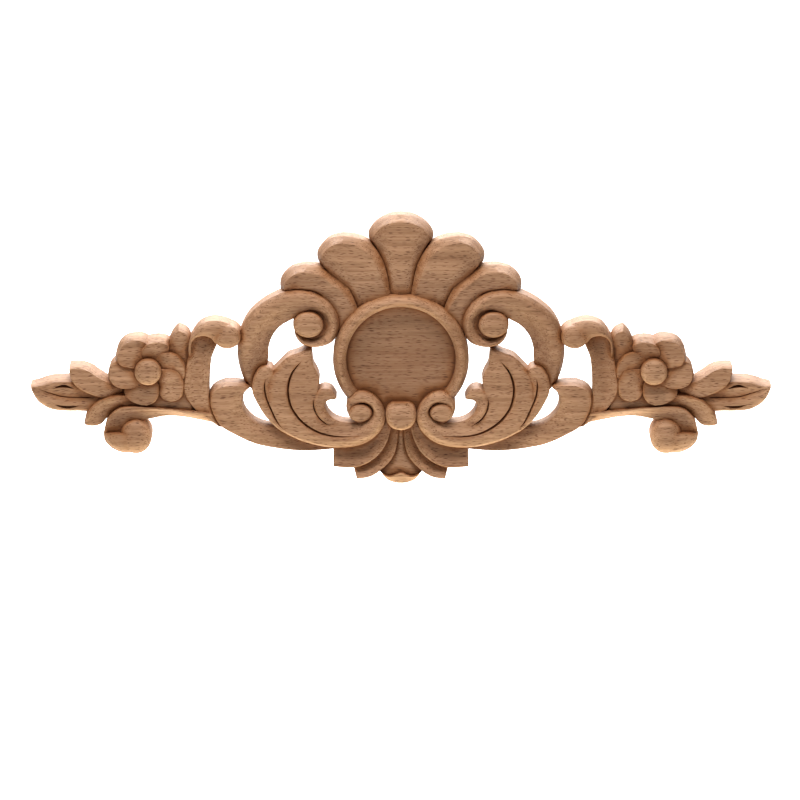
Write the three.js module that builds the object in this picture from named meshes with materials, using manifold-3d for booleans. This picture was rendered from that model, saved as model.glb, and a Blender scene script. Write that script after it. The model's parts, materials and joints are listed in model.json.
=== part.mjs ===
// A carved wooden applique: a ringed medallion under a crest of leaf lobes, with a long wing of scrolls,
// leaves and a flower on each side and a palmette below. It is one board, pierced and carved, flat behind.
// Millimetres. X runs along the length, Z is up, and the carving faces -Y from the flat back at Y = 0.
// The origin is on the back, behind the centre of the medallion.

import * as THREE from "three";
import Module from "manifold-3d";

const wasm = await Module();
wasm.setup();

// Driving sizes.
const LENGTH = 400;
const THICKNESS = 20;

// The drawing grid: 400 squares to the length, and 20 steps of height to the thickness.
// A place is [out, up]: squares out from the centre line, and up from the medallion's centre.
const SQUARE = LENGTH / 400;
const STEP = THICKNESS / 20;

// How finely the faces are divided: the longest run and the widest strip of a face, in squares, the most
// that an edge turns between two sections, in degrees, and the sides and rings of a domed boss.
const LONGEST_RUN = 36;
const WIDEST_STRIP = 12;
const MOST_TURN = 42;
const BOSS_SIDES = 12;
const BOSS_RINGS = 3;

// How many steps an edge is measured in, and how close two edges end, in squares, to share one tip.
const EDGE_SAMPLES = 80;
const SHARED_TIP = 0.1;

// Heights of the main levels, in steps above the back.
const BED = 7;
const HOLLOW = 9;
const COIL = 9.5;
const RING = 17.5;

// How far an edge drops, as a share of how far in it is rounded, and the most of a face's width that the
// rounding on one side takes up.
const EDGE_DROP = 0.75;
const MOST_ROUNDED = 0.3;

// The medallion, its ring and the bead below it.
const MEDALLION_RADIUS = 29.5;
const RING_WIDTH = 7.2;
const RING_FIRST_ANGLE = -37;
const RING_LAST_ANGLE = 217;
const BEAD_RADIUS = 8.1;

// How far the crest's centre lobe stands up from its root on the ring, how far the palmette hangs down from
// its root under the bead, and how far the wing's last leaf reaches out from its root under the flower.
const CREST_ROOT = 32;
const CREST_HEIGHT = 47.2;
const PALMETTE_ROOT = -37;
const PALMETTE_DEPTH = 32.6;
const TIP_ROOT = 160;
const TIP_LENGTH = 40;

// The bulb of the crook, and the root of the arch and the head of its volute under the flower.
const BULB = { out: 93.4, up: 13.1, radiusOut: 7.4, radiusUp: 6.6, foot: 14, crown: 18.3 };
const ARCH_ROOT = 98;
const VOLUTE = {
  out: 143.5, up: -43, radiusOut: 8.7, radiusUp: 9.5, foot: 11.5, crown: 17.6, fullness: 2.2,
};

// The wing's flower: six petals round a button, each lying over the next.
const FLOWER = { out: 136.3, up: -6, button: 7.2, petalRoot: 4 };
const PETALS = [
  { angle: 141, reach: 20.3, width: 18.5 },
  { angle: 72, reach: 17.3, width: 19.5 },
  { angle: 13, reach: 21, width: 18 },
  { angle: -43, reach: 20.3, width: 18 },
  { angle: -101, reach: 19.4, width: 20.5 },
  { angle: 193, reach: 21.8, width: 18.5 },
];

const radians = THREE.MathUtils.degToRad;

// A smooth curve through a few places of the grid.
const through = (...places) => new THREE.SplineCurve(places.map(([out, up]) => new THREE.Vector2(out, up)));

// An arc of an ellipse, from one angle to another in degrees.
const arc = (out, up, radiusOut, radiusUp, from, to) =>
  new THREE.EllipseCurve(out, up, radiusOut, radiusUp, radians(from), radians(to), to < from);

// A smooth value between evenly spaced knots, at t from 0 to 1.
function between(knots, t) {
  const place = t * (knots.length - 1);
  const i = Math.min(Math.floor(place), Math.max(knots.length - 2, 0));
  const f = place - i;
  const at = (k) => knots[Math.min(Math.max(k, 0), knots.length - 1)];
  const [a, b, c, d] = [at(i - 1), at(i), at(i + 1), at(i + 2)];
  return b + 0.5 * f * (c - a + f * (2 * a - 5 * b + 4 * c - d + f * (3 * (b - c) + d - a)));
}

// The shortest distance from a place to a chain of places.
function distanceTo(chain, place) {
  const toward = new THREE.Vector2();
  const away = new THREE.Vector2();
  let least = Infinity;
  for (let i = 1; i < chain.length; i++) {
    toward.subVectors(chain[i], chain[i - 1]);
    away.subVectors(place, chain[i - 1]);
    const share = THREE.MathUtils.clamp(away.dot(toward) / Math.max(toward.lengthSq(), 1e-9), 0, 1);
    least = Math.min(least, away.addScaledVector(toward, -share).length());
  }
  return least;
}

// How far a rounded edge has dropped, at a distance in from it: a parabola that leaves the face level.
const dropAt = (distance, softness) => EDGE_DROP * softness * Math.max(1 - distance / softness, 0) ** 2;

// A closed solid from corners [out, up, height] and triangles, turned so that its faces point outwards.
function solid(corners, triangles) {
  const points = corners.map(([out, up, height]) => [out * SQUARE, -height * STEP, up * SQUARE]);
  const [a, b, c] = [new THREE.Vector3(), new THREE.Vector3(), new THREE.Vector3()];
  let volume = 0;
  for (const [i, j, k] of triangles) {
    a.fromArray(points[i]);
    b.fromArray(points[j]);
    c.fromArray(points[k]);
    volume += a.dot(b.cross(c));
  }
  const outward = volume < 0 ? triangles.map(([i, j, k]) => [i, k, j]) : triangles;
  const vertProperties = new Float32Array(points.flat());
  const triVerts = new Uint32Array(outward.flat());
  return new wasm.Manifold(new wasm.Mesh({ numProp: 3, vertProperties, triVerts }));
}

// Stations from root to tip of a pair of edges, closer together where either edge turns.
function stations(edges) {
  const steps = 2 * EDGE_SAMPLES;
  const reached = [0];
  for (let i = 1; i <= steps; i++) {
    const effort = edges.map((edge) => {
      const turn = edge.getTangentAt((i - 1) / steps).angleTo(edge.getTangentAt(i / steps));
      return edge.getLength() / steps / LONGEST_RUN + turn / radians(MOST_TURN);
    });
    reached.push(reached[i - 1] + Math.max(...effort));
  }
  const total = reached[steps];
  const count = Math.max(Math.round(total), 3);
  const share = (k) => reached.findIndex((sum) => sum >= (k / count) * total) / steps;
  return [...Array(count).keys()].map(share);
}

// A carved leaf, band or petal: a face stretched between two edges that run from its root to its tip, with
// upright walls down to the back. relief holds heights, in rows from root to tip, each from the near edge
// to the far edge. soft is how far in the near and the far edge are rounded. Edges that end apart leave a
// square tip.
function leaf({ near, far, relief, soft = [1, 1] }) {
  const edges = [near, far];
  const chains = edges.map((edge) => edge.getSpacedPoints(EDGE_SAMPLES));
  const tip = edges.map((edge) => edge.getPointAt(1));
  const pointed = tip[0].distanceTo(tip[1]) < SHARED_TIP;
  const tipSoftness = Math.min(...soft);
  const tipRow = 1 - tipSoftness / Math.min(near.getLength(), far.getLength());
  const along = [...stations(edges).filter((v) => v < 2 * tipRow - 1), tipRow, 1];
  const widths = along.map((v) => near.getPointAt(v).distanceTo(far.getPointAt(v)));
  const columns = Math.max(Math.round(Math.max(...widths) / WIDEST_STRIP), relief[0].length > 1 ? 2 : 0);
  const sections = along.map((v, row) => {
    const width = Math.max(widths[row], SHARED_TIP);
    const margins = soft.map((softness) => Math.min(softness / width, MOST_ROUNDED));
    const span = 1 - margins[0] - margins[1];
    const inner = [...Array(columns + 1).keys()].map((k) => margins[0] + (k / columns) * span);
    return [0, ...inner, 1].map((u) => {
      const place = near.getPointAt(v).lerp(far.getPointAt(v), u);
      const drops = soft.map((softness, side) => dropAt(distanceTo(chains[side], place), softness));
      if (!pointed) drops.push(dropAt(distanceTo(tip, place), tipSoftness));
      const face = between(relief.map((knots) => between(knots, u)), v);
      return [place.x, place.y, face - Math.max(...drops)];
    });
  });
  if (pointed) sections[sections.length - 1].splice(1);
  return loft(sections);
}

// A solid under rows of face corners. The last row may be a single corner.
function loft(sections) {
  const corners = [];
  const triangles = [];
  const face = sections.map((row) => row.map((corner) => corners.push(corner) - 1));
  const foot = sections.map((row) => {
    const ends = row.length > 1 ? [row[0], row[row.length - 1]] : row;
    return ends.map(([out, up]) => corners.push([out, up, 0]) - 1);
  });
  const quad = (a, b, c, d) => triangles.push([a, b, c], [a, c, d]);
  for (let i = 1; i < sections.length; i++) {
    const [low, high] = [face[i - 1], face[i]];
    const last = low.length - 1;
    if (high.length > 1) {
      for (let k = 0; k < last; k++) quad(low[k], low[k + 1], high[k + 1], high[k]);
      quad(low[0], high[0], foot[i][0], foot[i - 1][0]);
      quad(high[last], low[last], foot[i - 1][1], foot[i][1]);
      quad(foot[i - 1][1], foot[i - 1][0], foot[i][0], foot[i][1]);
    } else {
      for (let k = 0; k < last; k++) triangles.push([low[k], low[k + 1], high[0]]);
      quad(low[0], high[0], foot[i][0], foot[i - 1][0]);
      quad(high[0], low[last], foot[i - 1][1], foot[i][0]);
      triangles.push([foot[i - 1][1], foot[i - 1][0], foot[i][0]]);
    }
  }
  const wall = (row, [start, end]) => {
    for (let k = 1; k < row.length; k++) triangles.push([row[k - 1], row[k], start]);
    triangles.push([row[row.length - 1], end, start]);
  };
  wall([...face[0]].reverse(), [...foot[0]].reverse());
  if (face[face.length - 1].length > 1) wall(face[face.length - 1], foot[foot.length - 1]);
  return solid(corners, triangles);
}

// A domed boss on an upright wall: an ellipse in plan, whose top may lean to one side. A full one has a
// flatter top and steeper sides.
function boss({
  out, up, radiusOut, radiusUp = radiusOut, lean = [0, 0], foot, crown, fullness = 2.4,
  sides = BOSS_SIDES, rings = BOSS_RINGS,
}) {
  const corners = [[out + lean[0], up + lean[1], crown]];
  const triangles = [];
  const ring = (share, height) => {
    const first = corners.length;
    const [middleOut, middleUp] = [out + lean[0] * (1 - share), up + lean[1] * (1 - share)];
    for (let k = 0; k < sides; k++) {
      const angle = (2 * Math.PI * k) / sides;
      const [across, along] = [radiusOut * share * Math.cos(angle), radiusUp * share * Math.sin(angle)];
      corners.push([middleOut + across, middleUp + along, height]);
    }
    return first;
  };
  const join = (from, to) => {
    for (let k = 0; k < sides; k++) {
      const next = (k + 1) % sides;
      triangles.push([from + k, to + k, to + next], [from + k, to + next, from + next]);
    }
  };
  let last = 0;
  for (let n = 1; n <= rings; n++) {
    const share = Math.sin((n / rings) * (Math.PI / 2));
    const height = foot + (crown - foot) * (1 - share ** fullness) ** (1 / fullness);
    const next = ring(share, height);
    if (n > 1) join(last, next);
    last = next;
  }
  for (let k = 0; k < sides; k++) triangles.push([0, 1 + k, 1 + ((k + 1) % sides)]);
  const floor = ring(1, 0);
  join(last, floor);
  for (let k = 1; k < sides - 1; k++) triangles.push([floor, floor + k + 1, floor + k]);
  return solid(corners, triangles);
}

// A cut made with a V tool along a path. It runs out at both ends at the height rim, and floors are the
// heights of its bottom between them. banks are how far its two sides reach from the path, to the left and
// to the right of it, at the height rim.
function veinCut({ path, banks, floors, rim }) {
  const along = stations([path]);
  const corners = [path.getPointAt(0), path.getPointAt(1)].map(({ x, y }) => [x, y, rim]);
  const triangles = [];
  along.slice(1).forEach((t, n) => {
    const place = path.getPointAt(t);
    const heading = path.getTangentAt(t);
    const [left, right] = banks.map((bank) => bank * Math.sin(Math.PI * t) ** 0.5);
    const first = corners.length;
    corners.push(
      [place.x - heading.y * left, place.y + heading.x * left, rim],
      [place.x + heading.y * right, place.y - heading.x * right, rim],
      [place.x, place.y, between([rim, ...floors, rim], t)],
    );
    for (let k = 0; k < 3; k++) {
      const next = (k + 1) % 3;
      const before = first - 3;
      if (n === 0) triangles.push([0, first + next, first + k]);
      else triangles.push([before + k, before + next, first + next], [before + k, first + next, first + k]);
      if (n === along.length - 2) triangles.push([1, first + k, first + next]);
    }
  });
  return solid(corners, triangles);
}

// The same solid on the other side of the centre line.
function mirrored(shape) {
  const { numProp, vertProperties, triVerts } = shape.getMesh();
  for (let i = 0; i < vertProperties.length; i += numProp) vertProperties[i] *= -1;
  for (let i = 0; i < triVerts.length; i += 3) triVerts.subarray(i, i + 3).reverse();
  return new wasm.Manifold(new wasm.Mesh({ numProp, vertProperties, triVerts }));
}

const union = (solids) => solids.reduce((whole, next) => whole.add(next));

// The medallion: a shallow dish inside a half-round ring. The ring is open at the bottom, where it sinks
// away to the apron below the dish, and a bead stands in the gap.
function medallion() {
  const outer = MEDALLION_RADIUS + RING_WIDTH;
  const underRing = MEDALLION_RADIUS + RING_WIDTH / 2;
  const ringSection = [RING - 3, RING, RING - 0.5, RING - 4.5];
  return [
    boss({ out: 0, up: 0, radiusOut: underRing, foot: HOLLOW + 1, crown: HOLLOW, sides: 24, rings: 1 }),
    leaf({
      near: through([14, -18], [12, -28], [11, -42]),
      far: through([-14, -18], [-12, -28], [-11, -42]),
      relief: [[HOLLOW]],
    }),
    leaf({
      near: arc(0, 0, MEDALLION_RADIUS, MEDALLION_RADIUS, RING_FIRST_ANGLE, RING_LAST_ANGLE),
      far: arc(0, 0, outer, outer, RING_FIRST_ANGLE, RING_LAST_ANGLE),
      relief: [4, 0, 0, 0, 0, 4].map((sunk) => ringSection.map((height) => height - sunk)),
    }),
    boss({ out: 0, up: -32.3, radiusOut: BEAD_RADIUS, foot: 14, crown: 18.6, fullness: 4 }),
  ];
}

// The crest: a centre lobe, then two lobes on each side, each lying over the one before.
function crestCentre() {
  const outline = [
    [9, 0], [10, 0.275], [13, 0.53], [17.3, 0.72], [16, 0.826], [11.5, 0.924], [5.5, 0.985], [0, 1],
  ];
  const side = (sign) => outline.map(([out, share]) => [sign * out, CREST_ROOT + share * CREST_HEIGHT]);
  return leaf({
    near: through(...side(-1)),
    far: through(...side(1)),
    relief: [
      [9, 12, 13, 12, 9], [9, 14, 15, 14, 9], [11.5, 14.8, 15.2, 14.8, 11.5], [16.8, 16.8, 16.8, 16.8, 16.8],
    ],
    soft: [1.7, 1.7],
  });
}

function crestSide() {
  return [
    leaf({
      near: through([24, 27], [34, 40], [42, 49], [45, 56], [42.5, 61.5], [37.5, 66], [31, 67.8]),
      far: through([5, 33], [7, 45], [9.5, 54], [14, 61.5], [19, 65.2], [25, 67.2], [31, 67.8]),
      relief: [[10, 12, 13, 13], [10, 14, 14.5, 15.5], [12, 14.6, 15, 16], [16.5, 16.5, 16.5, 16.5]],
      soft: [1.6, 3.6],
    }),
    leaf({
      near: through(
        [36, 11], [38, 26], [45, 35], [54, 37], [63, 36], [65, 40.5], [63, 45.5], [58, 49.8],
        [51, 51.6],
      ),
      far: through([22, 24], [25, 33], [29, 40.5], [34.5, 45.5], [40, 49.5], [45.5, 51.3], [51, 51.6]),
      relief: [[10, 11, 12, 13], [11, 13.5, 14, 15], [12, 13.8, 14.2, 15], [15.6, 15.6, 15.6, 15.6]],
      soft: [1.6, 3.6],
    }),
  ];
}

// The great C scroll beside the medallion. It springs from behind the leaves, rolls over the top and winds
// in under itself to a domed eye.
function greatScroll() {
  return [
    leaf({
      near: through(
        [80.5, -18.5], [85, -12], [88, 0], [87.5, 12], [83, 23], [75, 31], [65, 36.5], [55, 39.3],
        [45, 36.8], [37, 30], [33, 20], [36.5, 10.3], [45, 6.8], [52.5, 8.2], [56.6, 12.8],
        [57.6, 18.5],
      ),
      far: through(
        [77, -20], [74, -10], [71, 0], [71, 8], [68.5, 13.5], [63.5, 18.7], [57.5, 22.6], [53.5, 26.5],
        [48, 27.8], [42.5, 25], [40.7, 19.5], [43, 14.5], [47.5, 12.3], [51.5, 13], [54.5, 15.2],
        [57.6, 18.5],
      ),
      relief: [
        [8, 9, 8.5, 8], [12, 13, 11, 9], [15, 15.5, 12, 9], [15.5, 16, 13, 10], [15.5, 16.5, 14, 10.5],
        [15, 16.5, 15, 11], [14.5, 16, 15, 11], [14, 15, 14, 12],
      ],
      soft: [1.8, 0.8],
    }),
    boss({ out: 46.5, up: 20.5, radiusOut: 11.5, radiusUp: 11, foot: COIL, crown: COIL, rings: 1 }),
    boss({ out: 49.8, up: 19.8, radiusOut: 8.1, radiusUp: 7, foot: 13.5, crown: 18, fullness: 2.8 }),
  ];
}

// The stem: from the eye of the small scroll beside the bead, round and under, then out and up to the tip of
// the broad leaf inside the C.
function stem() {
  return [
    leaf({
      near: through(
        [28.8, -30.2], [29.6, -25], [26.8, -19.8], [21.3, -17.5], [15.1, -19.6], [10.4, -24.7],
        [8.4, -31.5], [10.2, -38], [14.4, -43], [20.8, -46.8], [30, -48.7], [42, -48.2], [55, -44.6],
        [65, -38.8], [70.6, -30], [72.5, -18], [71, -9], [66.5, -3.8], [61, 1.6], [55, 3.9],
        [48.2, 7.4],
      ),
      far: through(
        [25.6, -29.4], [24.8, -26], [22.4, -24.4], [19.2, -24.2], [16.2, -26.3], [15.3, -29.6],
        [17.5, -32.8], [22, -35], [29, -35.3], [34.5, -34], [38.5, -31], [41, -26], [44.5, -18],
        [43.8, -11.5], [45, -7], [47.2, -2.5], [48.2, 7.4],
      ),
      relief: [
        [13, 15, 14.5, 13.5], [14, 16, 16, 14], [14.5, 17, 16.5, 13], [15, 16.7, 14, 10.5],
        [14.5, 15.8, 14, 13], [14.5, 15.3, 15, 14.5], [14.5, 15.3, 15.2, 14.5], [14, 14.8, 15, 14],
        [14, 14, 14, 14],
      ],
      soft: [1.2, 0.8],
    }),
    boss({ out: 20, up: -28, radiusOut: 8, foot: COIL, crown: COIL, rings: 1 }),
    boss({ out: 22, up: -29.2, radiusOut: 6.4, radiusUp: 4.9, foot: 12, crown: 16.5, fullness: 2.8 }),
  ];
}

// The outer leaf, which lies against the great scroll, and the hooked tip that turns in to the ring.
function sideLeaves() {
  return [
    leaf({
      near: through(
        [45, -47.5], [55, -44.6], [65, -39.3], [72.4, -32.2], [77, -25], [80.2, -17.5], [79.5, -10],
        [76.5, -4.8], [73, -3.5],
      ),
      far: through(
        [45, -42], [55, -38], [63, -32], [67, -24], [68.5, -17], [68, -11], [68.5, -7], [70, -4.4],
        [73, -3.5],
      ),
      relief: [[11, 11, 11], [14.3, 14.3, 13], [14.5, 15, 13], [14, 15, 14.5]],
    }),
    leaf({
      near: through(
        [34, -39], [41, -36], [44.8, -31.5], [46.6, -26], [46.2, -19.5], [44, -15], [41, -13.4],
        [37.6, -15], [34.6, -19],
      ),
      far: through(
        [30, -35.3], [34.5, -34], [38.5, -31], [41, -26.5], [41.3, -23.5], [39.8, -21.9], [38, -21.6],
        [36, -21.2], [34.6, -19],
      ),
      relief: [[12, 12, 12], [15.5, 15, 13.5], [15.5, 15, 14], [15, 15.5, 14.5]],
      soft: [0.8, 0.8],
    }),
  ];
}

// The palmette: two fluted petals on each side of a tongue with an upturned lip.
function palmetteSide() {
  return [
    leaf({
      near: through([7.5, -34], [12, -40], [20, -45], [28, -47.6], [36.6, -49.5]),
      far: through([5, -38], [7.4, -45.8], [11.5, -52.4], [18, -57.6], [26, -60.2], [36.6, -59.6]),
      relief: [[8, 8, 11], [8, 8, 13], [8.5, 9, 14], [10, 11, 14]],
    }),
    leaf({
      near: through([4, -37], [6.5, -46], [11, -53], [17, -58], [25.5, -60.6]),
      far: through([1.3, -39], [2.2, -48.4], [4.9, -55.4], [10.5, -61.4], [16.8, -65.4], [24, -66.6]),
      relief: [[8, 8.5, 10.5], [8, 9, 12.5], [9, 10, 13.5], [11, 12, 14]],
    }),
  ];
}

function palmetteTongue() {
  const down = (outline, sign = 1) =>
    through(...outline.map(([out, share]) => [sign * out, PALMETTE_ROOT - share * PALMETTE_DEPTH]));
  const side = [[2.5, 0], [3.5, 0.4], [6.6, 0.644], [11, 0.859]];
  return [
    leaf({
      near: down(side, -1),
      far: down(side),
      relief: [[8, 10, 8], [8, 11, 8], [8.5, 11, 8.5], [9, 11, 9]],
      soft: [0.6, 0.6],
    }),
    leaf({
      near: down([[-11.3, 0.785], [-5.5, 0.828], [0, 0.785], [5.5, 0.828], [11.3, 0.785]]),
      far: down([[-11.3, 0.785], [-7.5, 0.9325], [0, 1], [7.5, 0.9325], [11.3, 0.785]]),
      relief: [[10.5, 12.5, 14.5]],
    }),
  ];
}

// The lower band: a paddle-shaped end beside the stem of the wing, swept down and in behind the leaves to
// the palmette.
function lowerBand() {
  return [
    leaf({
      near: through(
        [29, -50.5], [46, -52], [58, -51.8], [70, -50], [80, -47.4], [90, -42.4], [98, -37],
        [102.8, -28], [103.6, -20], [100.5, -15.6], [95, -13.2],
      ),
      far: through(
        [29, -44], [46, -43], [58, -40.5], [68, -38.2], [75, -36.6], [80, -34], [84, -29.6],
        [85.4, -25], [84.6, -19], [81.5, -15.5], [87, -13.4], [95, -13.2],
      ),
      relief: [[9, 8, 8], [10, 9, 8], [12, 12, 10], [14, 14, 13], [14, 14, 14]],
      soft: [1.2, 1],
    }),
  ];
}

// The crook: a stem that climbs beside the flower and rolls over to a bulb against the great scroll, with a
// bud between it and the flower.
function crook() {
  return [
    leaf({
      near: through([99.6, -37], [105, -33], [112, -27], [117, -18], [116.5, -8], [114.2, 4], [112, 15]),
      far: through([97, -38], [101.5, -31], [103.4, -22], [103.3, -10], [102, 1], [99, 9], [99, 15]),
      relief: [[12, 12, 12], [13, 12, 13], [13.5, 11.5, 13.5], [12, 10.5, 12.5]],
      soft: [0.8, 1],
    }),
    leaf({
      near: through(
        [114.5, 2], [114.4, 9], [112, 14.6], [107.5, 19.8], [101, 21.8], [94.5, 20.8], [89.5, 17.8],
        [87.6, 13],
      ),
      far: through(
        [113, 2], [112.6, 9], [110.5, 12.3], [106.5, 13.5], [102.3, 12.2], [99.6, 9.2], [95, 9.5],
        [87.6, 13],
      ),
      relief: [[14, 14, 14], [15, 16.5, 15], [15, 17.5, 15], [14.5, 17.5, 15]],
      soft: [1.6, 1],
    }),
    boss(BULB),
    leaf({
      near: through([122.5, -8], [123.4, 2], [123, 9], [121.8, 14.5], [119.4, 17.6]),
      far: through([112.5, -8], [113, 5], [113.2, 11], [115, 15.2], [119.4, 17.6]),
      relief: [[10, 11, 10], [12, 13, 11], [13, 13.5, 13]],
      soft: [1, 0.8],
    }),
  ];
}

// The flower: petals on a low bed, and a domed button.
function flower() {
  const outline = [[0, 0.45], [0.3, 0.82], [0.58, 1], [0.8, 0.95], [0.94, 0.68], [1, 0]];
  const petals = PETALS.map(({ angle, reach, width }) => {
    const [cos, sin] = [Math.cos(radians(angle)), Math.sin(radians(angle))];
    const side = (sign) =>
      outline.map(([along, across]) => {
        const forward = THREE.MathUtils.lerp(FLOWER.petalRoot, reach, along);
        const aside = (sign * across * width) / 2;
        return [FLOWER.out - forward * cos + aside * sin, FLOWER.up + forward * sin + aside * cos];
      });
    return leaf({
      near: through(...side(1)),
      far: through(...side(-1)),
      relief: [[13, 11, 8], [14.5, 12.5, 8.5], [14.8, 13.4, 9.5], [14, 13.5, 12]],
      soft: [0.6, 0.5],
    });
  });
  return [
    ...petals,
    boss({ out: FLOWER.out, up: FLOWER.up - 1, radiusOut: 16, foot: BED, crown: BED, rings: 1 }),
    boss({
      out: FLOWER.out, up: FLOWER.up, radiusOut: FLOWER.button, foot: 16, crown: 20, fullness: 3.4,
    }),
  ];
}

// The underside of the wing: the arched band below the flower, hollowed into a cove that curls round the
// head of a volute, the volute's tail, a bit of the calyx, and a low bed.
function wingArch() {
  const run = VOLUTE.out - ARCH_ROOT;
  const arched = (share, up) => [ARCH_ROOT + share * run, up];
  const curled = (out, up) => [VOLUTE.out + out, VOLUTE.up + up];
  return [
    leaf({
      near: through(
        arched(0.11, -29.6), arched(0.374, -28.2), arched(0.725, -26.7), arched(1.033, -26),
        curled(9.5, 15.6), curled(15.3, 10), curled(17.4, 1.5),
      ),
      far: through(
        arched(0, -37.3), arched(0.198, -35), arched(0.44, -32.9), arched(0.637, -32.3),
        arched(0.835, -33.6), curled(2, 8.4), curled(5.9, 5.4), curled(6.5, 1.5),
      ),
      relief: [
        [13, 11, 8], [14, 12, 9], [14, 11.5, 9], [14.5, 12, 10], [14.5, 12.5, 11.5], [14, 12, 11.5],
      ],
      soft: [1, 0.5],
    }),
    leaf({
      near: through(
        curled(17.4, 2.5), curled(16.8, -2), curled(13.5, -6.2), curled(8, -9), curled(1.5, -9.6),
      ),
      far: through(curled(4.5, 2.5), curled(2.5, 0), curled(1, -3), curled(0, -6), curled(1.5, -9.6)),
      relief: [[14.5, 16, 16.5], [14, 16, 17], [13.5, 15, 16], [13, 13, 13]],
      soft: [2.4, 0.5],
    }),
    boss(VOLUTE),
    leaf({
      near: through([131, -18], [129, -23], [121, -27.3], [113.5, -29]),
      far: through([121, -14], [118.5, -19], [116, -24], [113.5, -29]),
      relief: [[11, 11, 11]],
    }),
    leaf({
      near: through([108, -5], [118, -8], [135, -6], [152, -10], [168, -15]),
      far: through([108, -31], [118, -29], [135, -27.5], [150, -28], [168, -26]),
      relief: [[BED - 1]],
    }),
  ];
}

// A smooth curve along the wing's last leaf. Its places are given as shares of the leaf's length and ups.
const alongTip = (...places) => through(...places.map(([share, up]) => [TIP_ROOT + share * TIP_LENGTH, up]));

// The end of the wing: a long pointed leaf, and one over and one under its root.
function wingTip() {
  return [
    leaf({
      near: alongTip([0, -12], [0.46, -11.5], [0.67, -12], [0.79, -13.2], [0.88, -14.5], [1, -15]),
      far: alongTip(
        [0, -30], [0.3, -28.9], [0.525, -28.7], [0.725, -27.6], [0.8875, -23.6], [0.97, -18.8],
        [1, -15],
      ),
      relief: [[12, 12, 11, 12, 12], [13, 13.5, 12.5, 13.5, 13], [13.5, 14, 13.5, 14, 13.5]],
      soft: [1.2, 1.2],
    }),
    leaf({
      near: through(
        [144, -9], [156, -11.6], [162.5, -8.6], [167, -5.4], [171, -3.9], [175, -3.4], [178.8, -3.8],
      ),
      far: through(
        [144, -20], [159, -21.6], [170, -18], [175, -14.6], [177.6, -11], [178.6, -7], [178.8, -3.8],
      ),
      relief: [[6, 8, 6], [12.5, 13.5, 12.5], [13.5, 14, 14.5], [13.5, 14, 14.5]],
    }),
    leaf({
      near: through([144, -18], [155, -19.7], [162, -21.6], [167, -25.2], [170, -29.5], [171.6, -36.3]),
      far: through([141, -24], [152, -28.5], [158.5, -32.6], [162, -36.2], [166.5, -37.3], [171.6, -36.3]),
      relief: [[7, 7, 7], [14.5, 12.5, 9.5], [15, 12.5, 10], [15, 13, 11.5], [14.5, 13.5, 13]],
      soft: [1.2, 0.8],
    }),
  ];
}

// The V cuts that part the leaves and vein the tips. The wide bank is on the leaf that dips under the next.
function cuts() {
  return [
    veinCut({
      path: through([71.6, -6.8], [73.4, -13], [72.8, -20], [70, -27.5], [66, -35.5], [60, -41.5]),
      banks: [1.3, 0.4],
      floors: [11.5, 11, 12.5],
      rim: 15.8,
    }),
    veinCut({
      path: through(
        [48.9, 3.6], [54, -1], [58.4, -7], [60.6, -14], [60.4, -21], [58, -28], [52, -35.2],
        [43, -40.4], [33, -42.2], [21, -41.6],
      ),
      banks: [1.6, 0.5],
      floors: [11.5, 10.5, 10.8, 12, 13],
      rim: 16.5,
    }),
    veinCut({
      path: through([44.9, -17], [47.1, -22], [46.8, -27.5], [43.5, -33], [37, -37.4], [31, -38.6]),
      banks: [0.4, 1.2],
      floors: [11.5, 11.5, 12.5],
      rim: 16.3,
    }),
    veinCut({
      path: alongTip(
        [1.005, -14.6], [0.82, -17.8], [0.7, -19.3], [0.585, -20.4], [0.44, -21], [0.22, -21.2],
        [0, -21],
      ),
      banks: [1.2, 0.4],
      floors: [12.5, 11, 10.5, 9.5],
      rim: 14.6,
    }),
    veinCut({
      path: alongTip([0.71, -15.9], [0.55, -14.7], [0.375, -16.6]),
      banks: [0.9, 1.3],
      floors: [7],
      rim: 14,
    }),
    veinCut({
      path: alongTip([0.7, -24.6], [0.52, -26.4], [0.31, -25.7]),
      banks: [1.3, 0.9],
      floors: [7],
      rim: 14,
    }),
  ];
}

function applique() {
  const oneSide = union([
    ...crestSide(), ...greatScroll(), ...stem(), ...sideLeaves(), ...palmetteSide(), ...lowerBand(),
    ...crook(), ...flower(), ...wingArch(), ...wingTip(),
  ]);
  const carved = cuts().reduce((left, cut) => left.subtract(cut), oneSide);
  return union([carved, mirrored(carved), crestCentre(), ...medallion(), ...palmetteTongue()]);
}

const { vertProperties, triVerts } = applique().getMesh();
const geometry = new THREE.BufferGeometry()
  .setAttribute("position", new THREE.BufferAttribute(vertProperties, 3))
  .setIndex(new THREE.BufferAttribute(triVerts, 1));
geometry.computeVertexNormals();

const wood = new THREE.MeshStandardMaterial({ color: "#b48f71", roughness: 0.72, metalness: 0 });
const carving = new THREE.Mesh(geometry, wood);
carving.name = "carved_applique";

const moulding = new THREE.Group();
moulding.add(carving);

export default moulding;
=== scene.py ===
# %% [markdown]
# # A carved wooden applique, in cells
#
# The object is one board of pale rubberwood, about 400 mm long, 149 mm high and 20 mm thick, pierced and
# carved in relief. Such an onlay is glued to a door or a drawer front. A carver would draw the outline on
# the board, saw it out, set the leaves in at their levels with gouges and round them over.
#
# The lesson follows that order: the drawing is a set of smooth edges, a leaf is a surface stretched between
# two of them, the leaves are joined into one body, and a last cell gives that body its wood.

import json
import math

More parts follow.
